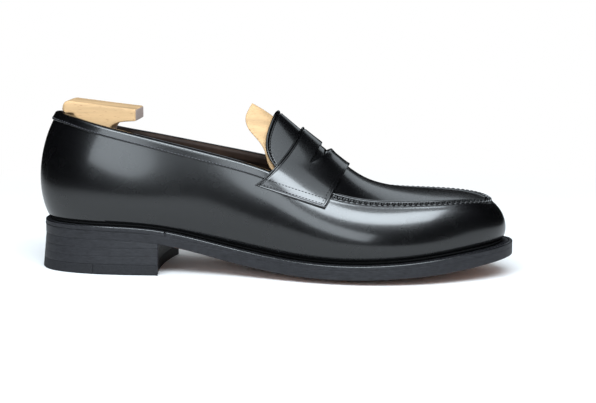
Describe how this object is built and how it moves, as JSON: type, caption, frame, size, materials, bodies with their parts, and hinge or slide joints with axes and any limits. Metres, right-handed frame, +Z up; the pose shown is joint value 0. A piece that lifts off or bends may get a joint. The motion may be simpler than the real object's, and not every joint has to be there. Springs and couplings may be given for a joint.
{
  "type": "penny loafer",
  "caption": "Welted leather penny loafer with an aproned front, a slotted saddle strap and a stacked heel, holding a sprung wooden shoe tree.",
  "frame": {"origin": "middle of the bounding box at floor level", "axes": "+X to the toe, +Y to the shoe's outer side, +Z up; the heel and the ball of the sole stand on z = 0"},
  "size_m": [0.3017, 0.1066, 0.1068],
  "materials": {
    "calf": "polished black calf",
    "lining_leather": "matt dark brown",
    "edge_leather": "waxed black edge",
    "tread_leather": "oiled brown",
    "heel_rubber": "matt",
    "leather_board": "raw",
    "cork": "pressed cork",
    "beech": "fine sanded",
    "steel": "zinc plated",
    "brass": "plain"
  },
  "bodies": {
    "shoe": {"outsole": "tread_leather", "welt": "edge_leather", "heel_rand": "edge_leather", "heel_lift_1": "edge_leather", "heel_lift_2": "edge_leather", "heel_lift_3": "edge_leather", "top_piece_rubber": "heel_rubber", "top_piece_leather": "edge_leather", "heel_nail_1": "brass", "heel_nail_2": "brass", "heel_nail_3": "brass", "heel_nail_4": "brass", "heel_nail_5": "brass", "insole": "leather_board", "cork_filler": "cork", "shank": "steel", "heel_sock": "lining_leather", "upper_wall": "calf", "heel_counter": "leather_board", "toe_puff": "leather_board", "quarter_lining": "lining_leather", "vamp_lining": "lining_leather", "collar_binding": "calf", "apron": "calf", "apron_lining": "lining_leather", "tongue": "calf", "tongue_lining": "lining_leather", "saddle_strap": "calf", "tree_forepart": "beech", "hinge_bracket": "steel", "hinge_pin": "steel", "bracket_screw_1": "steel", "bracket_screw_2": "steel"},
    "link": {"link_tube": "steel", "tube_bush": "brass", "link_spring": "steel"},
    "heel_block": {"link_rod": "steel", "heel_plate": "steel", "heel_screw_1": "steel", "heel_screw_2": "steel", "tree_heel_block": "beech"}
  },
  "joints": [
    {"name": "link_hinge", "type": "hinge", "parent": "shoe", "child": "link", "pos_m": [-0.002, 0, 0.054], "axis": [0, 1, 0], "range_deg": [0, 23]},
    {"name": "block_slide", "type": "slide", "parent": "link", "child": "heel_block", "axis": [1, 0, 0], "range_m": [0, 0.022], "stiffness_N_per_m": 1200, "springref_m": -0.008, "deforming": ["link_spring"]}
  ],
  "couplings": [
    {"joint": "link_hinge", "follows": "block_slide", "rad_per_m": 18.2}
  ]
}
